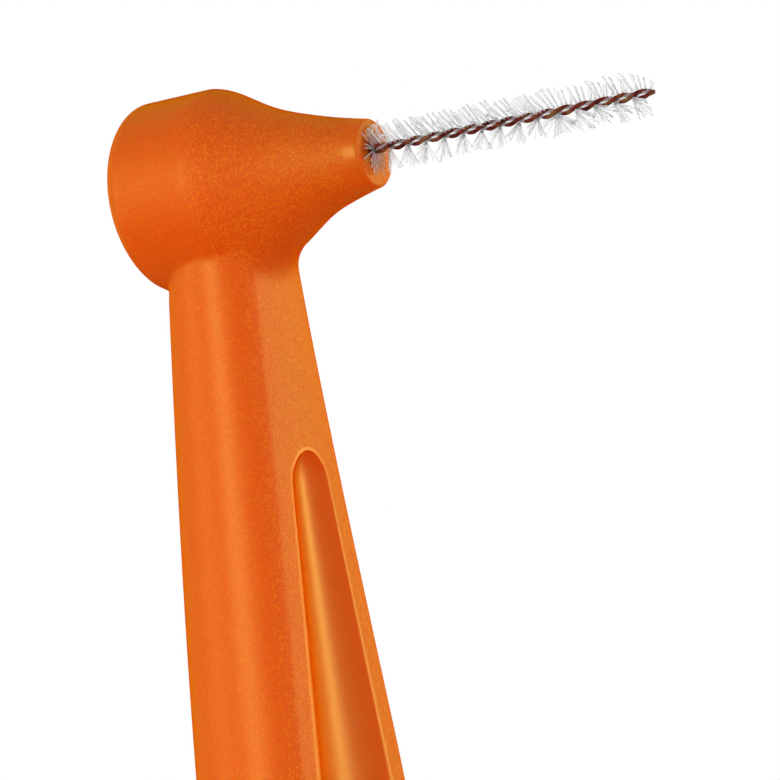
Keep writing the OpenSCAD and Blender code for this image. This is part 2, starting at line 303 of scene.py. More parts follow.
def round_sag(radius, y):
    """How far a circle has fallen away from its top at y."""
    return radius - math.sqrt(radius**2 - min(abs(y), radius) ** 2)


# ---------------------------------------------------------------- finer forms than the CAD's
# The polished channel lies a little below the grained face, with a narrow level lip inside its rim
LIP_DEPTH = 0.01
LIP_WIDTH = 0.2
LIP_WALL = 0.025
# A wall takes no more than this share of the lip's width, where the lip is narrow
WALL_SHARE = 0.3
# What the rim and the hollow narrow to at the channel's ends, as shares of their full widths, and
# the most that the hollow may be of the rim
RIM_CLOSED = 0.03
POOL_CLOSED = 0.02
POOL_SHARE = 0.9
# The front edges are rounded over this much of the face and of the side
EDGE_ROUND = 0.4
# Where the throat sweeps the front edge out, the side follows by this share
SIDE_SWEEP = 0.5
# The nozzle's underside is fuller than round and its top slimmer, most in the stretch's middle
NOSE_FULLNESS = 0.12
NOSE_SLIMNESS = 0.025
NOSE_FULL_STRETCH = (-SHOULDER_BACK, 4.0)
# The fillet between the front face and the nozzle's underside
THROAT_RADIUS = 1.6
THROAT_TURN = math.radians(60.0)
THROAT_CORNER = 4.4
THROAT_DROP = THROAT_CORNER + THROAT_RADIUS * math.tan(THROAT_TURN / 2)
THROAT_PASSES = 4
# The finer mesh is kept within the CAD's half width
GRIP_HALF_WIDTH = 6.37


def throat(drop, y):
    """How far the front face sweeps out under the nozzle, which narrows as it runs forward."""
    ahead = 0.0
    for _ in range(THROAT_PASSES):
        sag = round_sag(THROAT_CORNER - ahead / math.tan(THROAT_TURN), y)
        rise = min(THROAT_RADIUS * math.sin(THROAT_TURN), max(0.0, THROAT_DROP - drop - sag))
        ahead = THROAT_RADIUS - math.sqrt(THROAT_RADIUS**2 - rise**2)
    return ahead


def openness(drop, inset=0.0):
    """0 at the channel's ends and 1 along its length."""
    inside = min(drop - CHANNEL_DROP, CHANNEL_FOOT - drop) - inset
    length = CHANNEL_END - inset
    if inside <= 0:
        return 0.0
    if inside >= length:
        return 1.0
    return math.sqrt(1 - (1 - inside / length) ** 2)


def channel_rim(drop):
    """Half the channel's width at a drop, over its lips."""
    full = at_drop(drop, FACE_ROWS) / 2 - CHANNEL_MARGIN
    return full * max(RIM_CLOSED, openness(drop))


def channel_pool(drop):
    """Half the width of the hollow inside the lips."""
    full = at_drop(drop, FACE_ROWS) / 2 - CHANNEL_MARGIN - LIP_WIDTH
    opened = full * max(POOL_CLOSED, openness(drop, LIP_WIDTH))
    return min(channel_rim(drop) * POOL_SHARE, opened)


def channel_deep(drop):
    """How deep the hollow is in its middle, below the lips."""
    t = min(1.0, max(0.0, (drop - CHANNEL_DROP) / (GRIP_DROP - CHANNEL_DROP)))
    deep = CHANNEL_TOP_DEPTH + (CHANNEL_DEPTH - CHANNEL_TOP_DEPTH) * t
    return deep * openness(drop, LIP_WIDTH)


# Steps of the loft's outline across the hollow, the face, the rounded edge and the side
POOL_STEPS = 22
FACE_STEPS = 10
EDGE_STEPS = 8
SIDE_STEPS = 28


def face_line(drop, face):
    """Places across the front face, from middle to edge, and how far each lies below it."""
    rim, pool, deep = channel_rim(drop), channel_pool(drop), channel_deep(drop)
    inside = min(drop - CHANNEL_DROP, CHANNEL_FOOT - drop)
    lip = LIP_DEPTH * min(1.0, max(0.0, inside / LIP_WALL))
    wall = min(LIP_WALL, WALL_SHARE * (rim - pool))
    line = [
        (pool * i / POOL_STEPS, lip + deep * (1 - (i / POOL_STEPS) ** 2))
        for i in range(POOL_STEPS)
    ]
    line += [(pool, lip), (rim - 2 * wall, lip), (rim - wall, lip), (rim, 0.0), (rim + wall, 0.0)]
    start, inner = rim + wall, face - EDGE_ROUND
    line += [(start + (inner - start) * i / FACE_STEPS, 0.0) for i in range(1, FACE_STEPS + 1)]
    return line


def half_outline(drop):
    """Half of the handle's outline at a drop, from the front's middle to the back's middle."""
    height = HEAD_HEIGHT - drop
    corner = round_off(height, TAIL_CORNER_RADIUS)
    edge = round_off(height, TAIL_EDGE_RADIUS)
    thickness = at_drop(drop, THICKNESS_ROWS)
    half = at_drop(drop, WIDTH_ROWS) / 2 - corner
    face = at_drop(drop, FACE_ROWS) / 2 - corner
    depth = thickness - 2 * edge
    front = front_edge(drop) - edge
    gap = half - face
    radius = depth + gap - math.sqrt(2 * depth * gap)
    middle = (front - depth + radius, half - radius)
    start = math.acos((depth - radius) / radius)

    def front_at(y):
        return front + FACE_CROWN * (1 - (y / face) ** 2) + throat(drop, y)

    points = [(front_at(y) - below, y) for y, below in face_line(drop, face)]

    # The front edge, rounded between the face and the side arc
    swing = EDGE_ROUND / radius
    before, tip = points[-1], (front_at(face), face)
    after = (
        middle[0] + radius * math.cos(start + swing) + (tip[0] - front) * SIDE_SWEEP,
        middle[1] + radius * math.sin(start + swing),
    )
    for i in range(1, EDGE_STEPS):
        t = i / EDGE_STEPS
        points.append(
            tuple(
                (1 - t) ** 2 * before[j] + 2 * t * (1 - t) * tip[j] + t * t * after[j]
                for j in (0, 1)
            )
        )
    points.append(after)
    for i in range(1, SIDE_STEPS + 1):
        a = start + swing + (math.pi - start - swing) * i / SIDE_STEPS
        points.append((middle[0] + radius * math.cos(a), middle[1] + radius * math.sin(a)))
    points.append((front - depth, 0.0))
    return points


# Where the loft's rings are spread: the bar's part hidden in the head, the grip's first stretch,
# the distance kept from a turn of the shape, and the rings at a lip's wall, in wall widths
HIDDEN_DROP = 2.0
UPPER_DROP = 30.0
RING_MARGIN = 0.3
WALL_RINGS = (-1.0, 0.0, 0.25, 0.5, 1.0, 1.6)


def bar_drops():
    """Drops of the loft's rings, close together where the shape turns quickly."""
    top, foot = CHANNEL_DROP, CHANNEL_FOOT
    wall = [LIP_WALL * t for t in WALL_RINGS]
    pool = LIP_WIDTH * 0.5
    below_throat = THROAT_DROP + RING_MARGIN
    corner = HEAD_HEIGHT - TAIL_CORNER_RADIUS
    # Each stretch is given by its start, its end and its number of rings
    return (
        spread(0.0, HIDDEN_DROP, 3)
        + spread(HIDDEN_DROP, below_throat, 34)
        + spread(below_throat, top - RING_MARGIN, 18)
        + [top - RING_MARGIN]
        + [top + w for w in wall]
        + spread(top + pool, top + LIP_WIDTH, 3)
        + spread(top + LIP_WIDTH, top + CHANNEL_END, 22, "low")
        + spread(top + CHANNEL_END, UPPER_DROP, 24)
        + spread(UPPER_DROP, foot - CHANNEL_END, 40)
        + spread(foot - CHANNEL_END, foot - LIP_WIDTH, 18, "high")
        + spread(foot - LIP_WIDTH, foot - pool, 3)
        + [foot - w for w in reversed(wall)]
        + spread(foot + RING_MARGIN, corner, 36)
        + spread(corner, HEAD_HEIGHT, 20, "high")
        + [HEAD_HEIGHT]
    )


def make_bar(material):
    """The shank, grip and tail as one closed loft."""
    rings = []
    for drop in bar_drops():
        half = half_outline(drop)
        round_points = half + [(x, -y) for x, y in half[-2:0:-1]]
        rings.append([(x, y, HEAD_HEIGHT - drop) for x, y in round_points])
    sides = len(rings[0])
    points = np.array(rings).reshape(-1, 3)
    points[:, 1] = np.clip(points[:, 1], -GRIP_HALF_WIDTH, GRIP_HALF_WIDTH)
    faces = [tuple(reversed(f)) for f in tube_faces(len(rings), sides)]
    return mesh_object("handle", points, faces, material)


# ---------------------------------------------------------------- the head
HEAD_SIDES = 160
# Rings on the back's flat disc, and how far inside its edge the last one lies
DISC_RINGS = (0.0, 1.2, 2.4, 3.3)
DISC_EDGE = 0.12
DOME_STEPS = 16
DRUM_STEPS = 8
NOSE_STEPS = 40
NOZZLE_EDGE_STEPS = 8
# Rings on the nozzle's end face. Inside the second one all rings are round the brush's axis
FACE_OUTER_RADIUS = 1.2
FACE_INNER_RADIUS = 0.85
# The dimple's softened mouth, and the share of it that the cut corner takes
DIMPLE_LIP = 0.06
DIMPLE_LIP_CORNER = 0.3


def nose_curve():
    """The hollow-sided nozzle, from the drum's front shoulder to the nozzle's end edge."""
    start = (DRUM_RADIUS, -SHOULDER_BACK)
    end = (NOZZLE_END_RADIUS, NOZZLE_REACH - NOZZLE_EDGE_RADIUS)
    a, b = math.radians(NOSE_START_SLOPE), math.radians(NOSE_END_SLOPE)
    first, last = NOSE_START_PULL * DRUM_RADIUS, NOSE_END_PULL * DRUM_RADIUS
    return (
        start,
        (start[0] - first * math.sin(a), start[1] + first * math.cos(a)),
        (end[0] + last * math.sin(b), end[1] - last * math.cos(b)),
        end,
    )


def head_profile():
    """Radius and place along the head's axis, from the middle of the back into the bore."""
    back = -DRUM_BACK
    points = [(r, back - DISC_DEPTH) for r in DISC_RINGS]
    disc = DRUM_RADIUS * math.sqrt(1 - (DISC_DEPTH / DOME_DEPTH) ** 2)
    points.append((disc - DISC_EDGE, back - DISC_DEPTH))
    for i in range(1, DOME_STEPS + 1):
        x = DISC_DEPTH * math.cos(math.pi / 2 * i / DOME_STEPS)
        points.append((DRUM_RADIUS * math.sqrt(1 - (x / DOME_DEPTH) ** 2), back - x))
    points += [(DRUM_RADIUS, x) for x in spread(back, -SHOULDER_BACK, DRUM_STEPS)[1:]]
    curve = nose_curve()
    points += [bezier(i / NOSE_STEPS, curve) for i in range(NOSE_STEPS + 1)]
    for i in range(1, NOZZLE_EDGE_STEPS + 1):
        a = math.pi / 2 * i / NOZZLE_EDGE_STEPS
        points.append(
            (
                NOZZLE_END_RADIUS + NOZZLE_EDGE_RADIUS * (math.cos(a) - 1),
                NOZZLE_REACH + NOZZLE_EDGE_RADIUS * (math.sin(a) - 1),
            )
        )
    lip, cut = DIMPLE_LIP, DIMPLE_LIP_CORNER * DIMPLE_LIP
    points += [
        (FACE_OUTER_RADIUS, NOZZLE_REACH),
        (FACE_INNER_RADIUS, NOZZLE_REACH),
        (DIMPLE_RADIUS + lip, NOZZLE_REACH),
        (DIMPLE_RADIUS + cut, NOZZLE_REACH - cut),
        (DIMPLE_RADIUS, NOZZLE_REACH - lip),
        (DIMPLE_RADIUS, NOZZLE_REACH - DIMPLE_DEPTH + lip),
        (DIMPLE_RADIUS - lip, NOZZLE_REACH - DIMPLE_DEPTH),
        (BORE_RADIUS, NOZZLE_REACH - DIMPLE_DEPTH),
        (BORE_RADIUS, NOZZLE_REACH - WIRE_ANCHOR),
        (0.0, NOZZLE_REACH - WIRE_ANCHOR),
    ]
    return points


def nose_stretch(place, down):
    """The nozzle's height over that of a round one at a place, below or above its axis."""
    start, end = NOSE_FULL_STRETCH
    share = min(1.0, max(0.0, (place - start) / (end - start)))
    bump = math.sin(math.pi * share) ** 2
    return 1 + (NOSE_FULLNESS if down > 0 else -NOSE_SLIMNESS) * bump


def make_head(material):
    """The round head as one closed form: turned, with the dimple and bore on the brush's axis."""
    centre, along, down = head_frame()
    profile = head_profile()
    inner = profile[1:-1]
    sides = HEAD_SIDES
    turn = [2 * math.pi * i / sides for i in range(sides)]
    points = [centre + along * profile[0][1]]
    for r, x in inner:
        if r < FACE_INNER_RADIUS:
            ring = [(r * math.cos(a), r * math.sin(a), x - NOZZLE_REACH) for a in turn]
            points += list(in_brush(ring))
            continue
        for a in turn:
            drop = r * math.cos(a) * nose_stretch(x, math.cos(a))
            points.append(centre + along * x + drop * down + r * math.sin(a) * SIDE)
    points += list(in_brush([(0.0, 0.0, profile[-1][1] - NOZZLE_REACH)]))
    faces = tube_faces(len(inner), sides, base=1, cap_start=False, cap_end=False)
    last = 1 + (len(inner) - 1) * sides
    end = len(points) - 1
    for i in range(sides):
        j = (i + 1) % sides
        faces.append((0, 1 + j, 1 + i))
        faces.append((last + i, last + j, end))
    return mesh_object("head", np.array(points), faces, material)


# ---------------------------------------------------------------- the moulding's finish, and painted shade in its dimple
# Grain is 1 where the surface is fully grained and 0 where it is polished
GRAIN_ON_DRUM = 0.35
GRAIN_ON_SIDES = 0.4
# It grows from the drum's to the full one over a short way that starts behind the shoulder
GRAIN_LEAD = 0.1
GRAIN_RISE = 0.4
# The polished band at the nozzle's end
NOZZLE_LAND = 0.72
# A vertex counts as the head's within these bounds: off its axis in drum radii, below it, and
# also far enough along it, behind the face or high enough
HEAD_REACH = 1.02
HEAD_DROP = DRUM_RADIUS + 0.4
HEAD_AHEAD = 1.0
HEAD_BEHIND_FACE = 0.3
HEAD_UPPER_DROP = 3.0
# A vertex counts as the side's when it is this far behind the front edges, if it is also close to
# the face's edge, or else this far behind them anywhere
SIDE_BEHIND = 0.35
SIDE_NEAR_EDGE = 0.1
SIDE_WELL_BEHIND = 1.5
RIM_SLACK = 0.001
# Painted shade (the depth attribute): 1 in the dimple's floor, fading over the end face to a faint
# one
NEAR = 0.02
BORE_SLACK = 0.5
FACE_PAINTED_SHADE = 0.12
FACE_PAINTED_SHADE_MOST = 0.85
FACE_PAINTED_SHADE_REACH = 1.3


def head_grain(place, on_face):
    """The grain on the head, at a place along its axis."""
    if on_face:
        return 1.0
    if place > NOZZLE_REACH - NOZZLE_LAND:
        return 0.0
    return min(1.0, max(GRAIN_ON_DRUM, (place + SHOULDER_BACK + GRAIN_LEAD) / GRAIN_RISE))


def bar_grain(x, y, drop):
    """The grain on the bar: fainter on its sides, and none in the thumb channel."""
    face = at_drop(drop, FACE_ROWS) / 2
    behind = front_edge(drop)
    near_edge = abs(y) > face - SIDE_NEAR_EDGE
    if x < behind - SIDE_BEHIND and near_edge or x < behind - SIDE_WELL_BEHIND:
        return GRAIN_ON_SIDES
    if CHANNEL_DROP <= drop <= CHANNEL_FOOT and abs(y) < channel_rim(drop) + RIM_SLACK:
        return 0.0
    return 1.0


def moulded_finish(mesh):
    """Marks where the moulding is grained or polished, and the painted shade of its dimple and end
    face.
    """
    places = vertex_places(mesh)
    centre, along, _ = head_frame()
    place = (places - centre) @ along
    off = np.linalg.norm((places - centre) - np.outer(place, along), axis=1)
    mouth, along, _ = brush_frame()
    below = -((places - mouth) @ along)
    from_brush = np.linalg.norm((places - mouth) + np.outer(below, along), axis=1)
    on_face = place > NOZZLE_REACH - NEAR

    # Painted shade: dark in the dimple, with a ring fading out over the end face, kept as depth
    depth = np.clip(below / DIMPLE_DEPTH, 0, 1) * (from_brush < DIMPLE_RADIUS + NEAR)
    depth[(place < NOZZLE_REACH - WIRE_ANCHOR - BORE_SLACK)] = 0.0
    fall = (from_brush - DIMPLE_RADIUS) / FACE_PAINTED_SHADE_REACH
    ring = np.clip(FACE_PAINTED_SHADE_MOST - fall, FACE_PAINTED_SHADE, FACE_PAINTED_SHADE_MOST)
    depth = np.where(on_face, np.maximum(depth, ring), depth)

    grain = np.ones(len(places))
    for i, (x, y, z) in enumerate(places):
        drop = HEAD_HEIGHT - z
        in_head = off[i] < DRUM_RADIUS * HEAD_REACH and drop < HEAD_DROP
        clear = place[i] > HEAD_AHEAD or x < FRONT_X - HEAD_BEHIND_FACE or drop < HEAD_UPPER_DROP
        if in_head and clear:
            grain[i] = head_grain(place[i], on_face[i])
        else:
            grain[i] = bar_grain(x, y, drop)
    for name, values in (("grain", grain), ("depth", depth)):
        layer = mesh.attributes.new(name, "FLOAT", "POINT")
        layer.data.foreach_set("value", values.astype(np.float32))


# ---------------------------------------------------------------- the whole moulding
FILLET_REACH = 0.8
FILLET_PASSES = 14
FILLET_PULL = 0.6
SHARP_ANGLE = 38.0
# Places that agree to this many digits of a millimetre are the same
PLACE_DIGITS = 4


def soften_seam(mesh, seam):
    """Rounds the crease where the head and the bar meet, by averaging the places round it."""
    places = vertex_places(mesh)
    tree = KDTree(len(seam))
    for i, p in enumerate(seam):
        tree.insert(p, i)
    tree.balance()
    away = np.array([tree.find(p)[2] for p in places])
    weight = np.clip(1 - away / FILLET_REACH, 0, 1)
    weight = (weight * weight * (3 - 2 * weight))[:, None]
    edges = np.zeros(len(mesh.edges) * 2, dtype=np.int64)
    mesh.edges.foreach_get("vertices", edges)
    a, b = edges.reshape(-1, 2).T
    count = np.maximum(1, np.bincount(np.concatenate((a, b)), minlength=len(places)))[:, None]
    for _ in range(FILLET_PASSES):
        total = np.zeros_like(places)
        np.add.at(total, a, places[b])
        np.add.at(total, b, places[a])
        places += (total / count - places) * weight * FILLET_PULL
    mesh.vertices.foreach_set("co", (places * MM).ravel())
    mesh.update()


def make_handle(material):
    """The bar and the head joined into the one moulding that they are."""
    bar = make_bar(material)
    head = make_head(material)
    before = {tuple(p) for o in (bar, head) for p in vertex_places(o.data).round(PLACE_DIGITS)}
    join = bar.modifiers.new("join", "BOOLEAN")
    join.operation = "UNION"
    join.solver = "EXACT"
    join.object = head
    depsgraph = bpy.context.evaluated_depsgraph_get()
    joined = bpy.data.meshes.new_from_object(bar.evaluated_get(depsgraph))
    bar.modifiers.clear()
    bar.data = joined
    joined.name = "handle"
    bpy.data.objects.remove(head)
    seam = [p for p in vertex_places(joined) if tuple(p.round(PLACE_DIGITS)) not in before]
    soften_seam(joined, seam)
    joined.shade_smooth()
    joined.set_sharp_from_angle(angle=math.radians(SHARP_ANGLE))
    moulded_finish(joined)
    return bar


# ---------------------------------------------------------------- wire
LEG_STEPS = 240
FOLD_STEPS = 10
COAT_SIDES = 14


def twist_at(along):
    """The turn of the first leg at a place along the brush, in radians."""
    return math.radians(TWIST_START - 360.0 * along / TWIST_PITCH)


def leg_points():
    """The middle line of the folded wire: up one leg, round the fold and back down the other."""
    span = FOLD_START + WIRE_ANCHOR
    first = []
    second = []
    for i in range(LEG_STEPS + 1):
        s = -WIRE_ANCHOR + span * i / LEG_STEPS
        a = twist_at(s)
        first.append((LEG_RADIUS * math.cos(a), LEG_RADIUS * math.sin(a), s))
        second.append((-LEG_RADIUS * math.cos(a), -LEG_RADIUS * math.sin(a), s))
    a = twist_at(FOLD_START)
    bend = []
    for i in range(1, FOLD_STEPS):
        b = math.pi * i / FOLD_STEPS
        out = LEG_RADIUS * math.cos(b)
        bend.append((out * math.cos(a), out * math.sin(a), FOLD_START + LEG_RADIUS * math.sin(b)))
    return np.array(first + bend + second[::-1])


def make_coat(material):
    """The coated wire as one smooth tube along its middle line."""
    line = in_brush(leg_points())
    tangent = np.gradient(line, axis=0)
    tangent /= np.linalg.norm(tangent, axis=1, keepdims=True)
    normal = np.cross(tangent[0], SIDE)
    normal /= np.linalg.norm(normal)
    rings = []
    for p, t in zip(line, tangent):
        normal = normal - t * (normal @ t)
        normal /= np.linalg.norm(normal)
        other = np.cross(t, normal)
        for i in range(COAT_SIDES):
            a = 2 * math.pi * i / COAT_SIDES
            rings.append(p + COAT_RADIUS * (math.cos(a) * normal + math.sin(a) * other))
    faces = tube_faces(len(line), COAT_SIDES)
    return mesh_object("coated_wire", np.array(rings), faces, material)


# ---------------------------------------------------------------- filaments
# Each tuft has a number of clumps, but the one at the nozzle has only the last few of them, since
# the star on the end face takes their place. A clump has strands both above and below the wire
CLUMPS = 5
FIRST_CLUMPS = 3
STRANDS_PER_CLUMP = 3
STRAND_SIDES = 5
STRAND_STEPS = 4
STRAND_RADIUS = 0.045
STRAND_TAPER = 0.2
STRAND_FOOT = 0.235
# A way close to the brush's axis, which no filament follows
STRAND_GUIDE = (1.0, 0.0, 0.1)
# The flat pack between the wire's legs, and the ways out and across of a ring's corners
PACK_RINGS = 14
PACK_REACH = 0.2
PACK_CORNERS = ((1, -1), (1, 1), (-1, 1), (-1, -1))
# Where a clump may stand in its share of the tuft, and how tall it is above and below the wire
CLUMP_STANDS = (0.35, 0.65)
CLUMP_ABOVE = (0.9, 1.0)
CLUMP_BELOW = (0.85, 1.0)
# How far each strand reaches, as a share of its clump's height
REACH_ABOVE = (0.9, 0.985)
REACH_BELOW = (0.85, 0.985)
# Above the wire filaments lean back towards the handle, by a share of their reach that is limited
# to one of the way to the nozzle. Below the wire they lean a little away from it
LEAN_ABOVE = 0.4
LEAN_LIMIT = 0.6
LEAN_BELOW = 0.12
# Share of a filament's turn from upright that is left after combing, and how much it strays
COMBED_ABOVE = 0.42
COMBED_BELOW = 0.4
STRAY_ABOVE = 0.13
STRAY_BELOW = 0.26
TIP_STRAY_ABOVE = 0.03
TIP_STRAY_BELOW = 0.07
# Below the wire the filaments of a half turn come out close together and fan out
FAN_FOOT = 0.15
FAN_TIP = 1.55
FAN_STRAY = 0.1
# Round the wire's exit a star of filaments stands close to the nozzle's end face
FACE_STRANDS = 24
FACE_REACH = 1.5
FACE_REACHES = (0.7, 1.0)
FACE_TURN_STRAY = 0.4
FACE_FOOT = 0.08
FACE_TIPS = (0.06, 0.2)
# Least distances of a filament's middle line from the end face and from the brush's tip
NEAREST_FACE = 0.06
NEAREST_TIP = 0.06


def tuft_middle(number):
    """Where along the brush a tuft's middle is."""
    return (number + 0.5) * TUFT_PITCH + TUFT_GAP


def upright_place(number):
    """Where along the brush a tuft's filaments stand upright."""
    first = TWIST_START + 90.0
    half_turns = round((first - 360.0 * tuft_middle(number) / TWIST_PITCH) / 180.0)
    return (first - 180.0 * half_turns) * TWIST_PITCH / 360.0


def strand_line(foot, tip, turn, reach):
    """A filament's middle line, from its place on the wire to its place over the tip."""
    line = []
    for i in range(STRAND_STEPS + 1):
        t = i / STRAND_STEPS
        r = STRAND_FOOT + (reach - STRAND_FOOT) * t
        s = foot + (tip - foot) * t
        s = min(max(s, NEAREST_FACE * (1 + t)), BRUSH_LENGTH - NEAREST_TIP)
        line.append((r * math.cos(turn), r * math.sin(turn), s))
    return line


def tuft_lines(number):
    """The middle lines of a tuft's filaments."""
    rng = random.Random(SEED * SEED_STEP + number)
    middle = tuft_middle(number)
    upright = upright_place(number)
    lines = []
    for clump in range(CLUMPS - FIRST_CLUMPS if number == 0 else 0, CLUMPS):
        s = middle + ((clump + rng.uniform(*CLUMP_STANDS)) / CLUMPS - 0.5) * TUFT_PITCH
        turn = (upright - s) / TWIST_PITCH * 2 * math.pi
        tall = rng.uniform(*CLUMP_ABOVE)
        low = rng.uniform(*CLUMP_BELOW)
        fan = FAN_TIP * (s - upright) + rng.gauss(0.0, FAN_STRAY)
        for _ in range(STRANDS_PER_CLUMP):
            above = turn * COMBED_ABOVE + rng.gauss(0.0, STRAY_ABOVE)
            reach = BRUSH_RADIUS * tall * rng.uniform(*REACH_ABOVE)
            lean = min(LEAN_ABOVE * reach * math.cos(above), LEAN_LIMIT * s)
            tip = s - lean + rng.gauss(0.0, TIP_STRAY_ABOVE)
            lines.append(strand_line(s, tip, math.pi + above, reach))
            below = turn * COMBED_BELOW + rng.gauss(0.0, STRAY_BELOW)
            reach = BRUSH_RADIUS * low * rng.uniform(*REACH_BELOW)
            foot = upright + FAN_FOOT * (s - upright)
            tip = upright + fan + LEAN_BELOW * reach + rng.gauss(0.0, TIP_STRAY_BELOW)
            lines.append(strand_line(foot, tip, below, reach))
    if number == 0:
        for i in range(FACE_STRANDS):
            stray = rng.uniform(-FACE_TURN_STRAY, FACE_TURN_STRAY)
            turn = 2 * math.pi * (i + stray) / FACE_STRANDS
            reach = FACE_REACH * rng.uniform(*FACE_REACHES)
            lines.append(strand_line(FACE_FOOT, rng.uniform(*FACE_TIPS), turn, reach))
    return lines


def pack_rings(number):
    """The flat pack of filaments that the wire grips, as rings of four corners."""
    start = number * TUFT_PITCH + TUFT_GAP + TUFT_GAP / 2
    end = start + TUFT_PITCH - TUFT_GAP
    rings = []
    for k in range(PACK_RINGS):
        s = start + (end - start) * k / (PACK_RINGS - 1)
        a = twist_at(s) + math.pi / 2
        for out, across in PACK_CORNERS:
            r, w = out * PACK_REACH, across * PACK_THICKNESS / 3
            rings.append(
                (r * math.cos(a) - w * math.sin(a), r * math.sin(a) + w * math.cos(a), s)
            )
    return rings


def make_tuft(number, material):
    """All filaments of one half turn of the wire, with the pack that holds them."""
    points = list(in_brush(pack_rings(number)))
    faces = tube_faces(PACK_RINGS, len(PACK_CORNERS))
    for places in tuft_lines(number):
        line = in_brush(places)
        way = line[-1] - line[0]
        way /= np.linalg.norm(way)
        across = np.cross(way, STRAND_GUIDE)
        across /= np.linalg.norm(across)
        other = np.cross(way, across)
        base = len(points)
        for k, p in enumerate(line):
            radius = STRAND_RADIUS * (1.0 - STRAND_TAPER * k / STRAND_STEPS)
            for i in range(STRAND_SIDES):
                b = 2 * math.pi * i / STRAND_SIDES
                points.append(p + radius * (math.cos(b) * across + math.sin(b) * other))
        faces += tube_faces(STRAND_STEPS + 1, STRAND_SIDES, base=base)
    return mesh_object(f"filaments_{number + 1:02d}", np.array(points), faces, material)


# ---------------------------------------------------------------- material helpers
def new_material(name):
    """A material, with its nodes, links and main shader."""
    material = bpy.data.materials.new(name)
    material.use_nodes = True
    nodes, links = material.node_tree.nodes, material.node_tree.links
    shader = nodes["Principled BSDF"]
    return material, nodes, links, shader


def set_inputs(node, values):
    """Gives a node's inputs their fixed values; colours are given without their alpha."""
    for name, value in values.items():
        if name.endswith(("Tint", "Color")):
            value = (*value, 1.0)
        node.inputs[name].default_value = value


def noise(nodes, links, scale, detail=3.0, roughness=0.5):
    """Noise that is fixed to the piece."""
    coords = nodes.new("ShaderNodeTexCoord")
    texture = nodes.new("ShaderNodeTexNoise")
    set_inputs(texture, {"Scale": scale, "Detail": detail, "Roughness": roughness})
    links.new(coords.outputs["Object"], texture.inputs["Vector"])
    return texture.outputs["Fac"]


def attribute(nodes, name):
    """A value that the mesh carries."""
    node = nodes.new("ShaderNodeAttribute")
    node.attribute_name = name
    return node.outputs["Fac"]


def colour_ramp(nodes, links, value, stops):
    """The colour that a value picks from rows of place and colour."""
    ramp = nodes.new("ShaderNodeValToRGB")
    elements = ramp.color_ramp.elements
    for i, (position, colour) in ((0, stops[0]), (1, stops[-1])):
        elements[i].position = position
        elements[i].color = (*colour, 1.0)
    for position, colour in stops[1:-1]:
        elements.new(position).color = (*colour, 1.0)
    links.new(value, ramp.inputs["Fac"])
    return ramp.outputs["Color"]


def roughen(nodes, links, shader, value, roughness):
    """Drives a shader's roughness between two limits by a value."""
    rough = nodes.new("ShaderNodeMapRange")
    low, high = roughness
    set_inputs(rough, {"To Min": low, "To Max": high})
    links.new(value, rough.inputs["Value"])
    links.new(rough.outputs["Result"], shader.inputs["Roughness"])


# ---------------------------------------------------------------- materials
PLASTIC_IOR = 1.45
# Base colour in the grain's dark pits and on its light peaks, which are painted glints, and the
# grain's levels for them
ORANGE_WITH_PAINTED_GLINTS = (
    (0.45, (0.76, 0.089, 0.0005)),
    (0.70, (0.90, 0.235, 0.003)),
)
# The level of a polished surface, between those two
ORANGE_SMOOTH = 0.5
# Colour of the painted shade in the dimple and on the nozzle's end face
DIMPLE_PAINTED_SHADE = (0.12, 0.004, 0.0005)
ORANGE_GLOSS = 0.5
GLOSS_TINT = (1.0, 1.0, 0.45)
# A clear amber skin that takes the blue out of the gloss
SKIN_IOR = 1.001
SKIN_TINT = (1.0, 0.88, 0.46)
# How far each colour of light travels inside the plastic
ORANGE_DEPTH = (8.0, 0.4, 0.06)
# Roughness where it is polished and where it is grained
ORANGE_ROUGHNESS = (0.33, 0.42)
GRAIN_SCALE = 9500.0
GRAIN_FINENESS = 0.6
GRAIN_HEIGHT = 0.000035

COAT_GLOSS = 0.07
COAT_SCALE = 2500.0
# Dark maroon coat colours, with olive patches painted as glints
COAT_WITH_PAINTED_GLINTS = (
    (0.35, (0.06, 0.007, 0.004)),
    (0.52, (0.18, 0.022, 0.014)),
    (0.72, (0.20, 0.115, 0.03)),
)
COAT_ROUGHNESS = (0.4, 0.6)

NYLON_IOR = 1.05
NYLON_CLEAR = 0.8
NYLON_ROUGHNESS = 0.3
NYLON_SCALE = 1500.0
NYLON_STOPS = (
    (0.3, (0.9, 0.91, 0.91)),
    (0.7, (0.98, 0.98, 0.98)),
)

STEEL_COLOUR = (0.55, 0.55, 0.57)
STEEL_SCALE = 6000.0
STEEL_ROUGHNESS = (0.25, 0.45)


